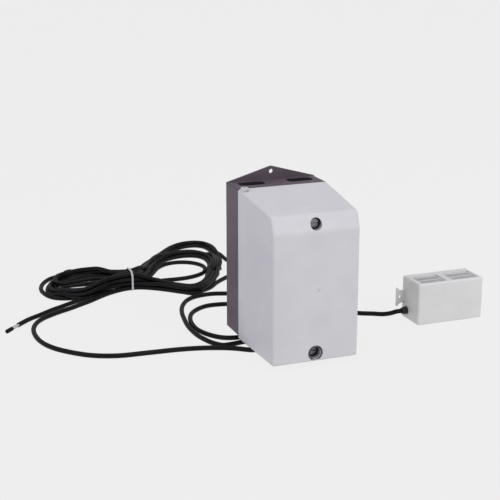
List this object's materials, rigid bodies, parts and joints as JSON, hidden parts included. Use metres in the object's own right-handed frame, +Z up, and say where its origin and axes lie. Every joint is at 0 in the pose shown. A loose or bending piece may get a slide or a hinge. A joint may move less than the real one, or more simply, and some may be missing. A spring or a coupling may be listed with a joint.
{
  "type": "actuator head",
  "caption": "Wall-mounted geared actuator head with hinged cover, rear output bore, supply lead and remote vented sensor on its own lead.",
  "frame": {"origin": "centre of the underside of the cable sill that the housing stands on", "axes": "+X right seen from the front, +Y into the wall, out of the back where the output bore opens, +Z up"},
  "size_m": [0.6401, 0.5709, 0.2285],
  "materials": {
    "housing_dark": "moulded",
    "cover_grey": "moulded",
    "rubber_black": "moulded",
    "zinc_steel": "zinc plated",
    "spring_steel": "rolled",
    "turned_aluminium": "turned",
    "chassis_steel": "zinc plated",
    "brass": "turned",
    "rotor_steel": "laminated",
    "moulded_black": "moulded",
    "acetal_cream": "moulded",
    "output_brass": "machined",
    "bronze": "sintered",
    "board_green": "solder mask",
    "terminal_green": "moulded",
    "coil_amber": "varnished tape",
    "relay_blue": "moulded",
    "fuse_glass": "glass tube",
    "wire_red": "extruded",
    "sensor_grey": "moulded",
    "grille_grey": "moulded",
    "gland_black": "moulded",
    "element_metal": "drawn",
    "cord_black": "extruded",
    "tie_grey": "moulded",
    "core_grey": "extruded"
  },
  "bodies": {
    "root": {"rear_housing": "housing_dark", "housing_walls": "housing_dark", "cable_sill": "housing_dark", "cover_seal": "rubber_black", "hinge_pins": "zinc_steel", "entry_plugs": "rubber_black", "cover_posts": "turned_aluminium", "chassis_rear_plate": "chassis_steel", "chassis_front_plate": "chassis_steel", "chassis_pillars": "brass", "chassis_screws": "zinc_steel", "motor_can": "chassis_steel", "motor_end_cap": "moulded_black", "gear_arbors": "zinc_steel", "output_bush_rear": "bronze", "output_bush_front": "bronze", "open_limit_switch": "moulded_black", "closed_limit_switch": "moulded_black", "circuit_board": "board_green", "board_standoffs": "brass", "board_screws": "zinc_steel", "terminal_block": "terminal_green", "terminal_screws": "zinc_steel", "transformer_core": "rotor_steel", "transformer_coil": "coil_amber", "relays": "relay_blue", "capacitor": "moulded_black", "fuse_holder": "moulded_black", "fuse": "fuse_glass", "motor_leads": "wire_red", "supply_relief": "rubber_black", "sensor_relief": "rubber_black", "sensor_case": "sensor_grey", "sensor_back": "sensor_grey", "sensor_grilles": "grille_grey", "sensor_gland": "gland_black", "sensor_board": "board_green", "sensing_element": "element_metal", "sensor_terminal": "terminal_green", "sensor_screws": "zinc_steel", "supply_lead": "cord_black", "supply_hank": "cord_black", "hank_tie": "tie_grey", "supply_tail": "cord_black", "stripped_cores": "core_grey", "core_sleeve": "cord_black", "sensor_cord": "cord_black"},
    "cover": {"front_cover": "cover_grey"},
    "upper_screw": {"cover_screw_upper": "zinc_steel", "screw_clip_upper": "spring_steel"},
    "lower_screw": {"cover_screw_lower": "zinc_steel", "screw_clip_lower": "spring_steel"},
    "output": {"output_gear": "output_brass", "limit_cams": "acetal_cream"},
    "stage_3": {"gear_stage_3": "acetal_cream"},
    "stage_2": {"gear_stage_2": "acetal_cream"},
    "rotor": {"motor_rotor": "rotor_steel"},
    "open_lever": {"open_limit_lever": "spring_steel"},
    "closed_lever": {"closed_limit_lever": "spring_steel"}
  },
  "joints": [
    {"name": "cover_swing", "type": "hinge", "parent": "root", "child": "cover", "pos_m": [-0.056, 0.033, 0.1], "axis": [0, 0, -1], "range_deg": [0, 90]},
    {"name": "upper_screw_turn", "type": "hinge", "parent": "cover", "child": "upper_screw", "pos_m": [0, -0.05, 0.185], "axis": [0, 1, 0], "range_deg": [0, 90]},
    {"name": "lower_screw_turn", "type": "hinge", "parent": "cover", "child": "lower_screw", "pos_m": [0, -0.05, 0.018], "axis": [0, 1, 0], "range_deg": [0, 90]},
    {"name": "output_turn", "type": "hinge", "parent": "root", "child": "output", "pos_m": [0, 0.07, 0.092], "axis": [0, 1, 0], "range_deg": [0, 90]},
    {"name": "stage_3_turn", "type": "hinge", "parent": "root", "child": "stage_3", "pos_m": [0.02689, 0.055, 0.1304], "axis": [0, 1, 0], "range_deg": [-361, 1]},
    {"name": "stage_2_turn", "type": "hinge", "parent": "root", "child": "stage_2", "pos_m": [0.01189, 0.048, 0.15638], "axis": [0, 1, 0], "range_deg": [-1, 1081]},
    {"name": "rotor_turn", "type": "hinge", "parent": "root", "child": "rotor", "pos_m": [-0.01175, 0.02, 0.15221], "axis": [0, 1, 0], "range_deg": [-3241, 1]},
    {"name": "open_lever_press", "type": "hinge", "parent": "root", "child": "open_lever", "pos_m": [0.0166, 0.0325, 0.083], "axis": [0, 1, 0], "range_deg": [0, 5], "stiffness_Nm_per_rad": 0.02},
    {"name": "closed_lever_press", "type": "hinge", "parent": "root", "child": "closed_lever", "pos_m": [-0.0166, 0.0285, 0.083], "axis": [0, -1, 0], "range_deg": [0, 5], "stiffness_Nm_per_rad": 0.02}
  ],
  "couplings": [
    {"joint": "stage_3_turn", "follows": "output_turn", "ratio": -4},
    {"joint": "stage_2_turn", "follows": "output_turn", "ratio": 12},
    {"joint": "rotor_turn", "follows": "output_turn", "ratio": -36}
  ]
}
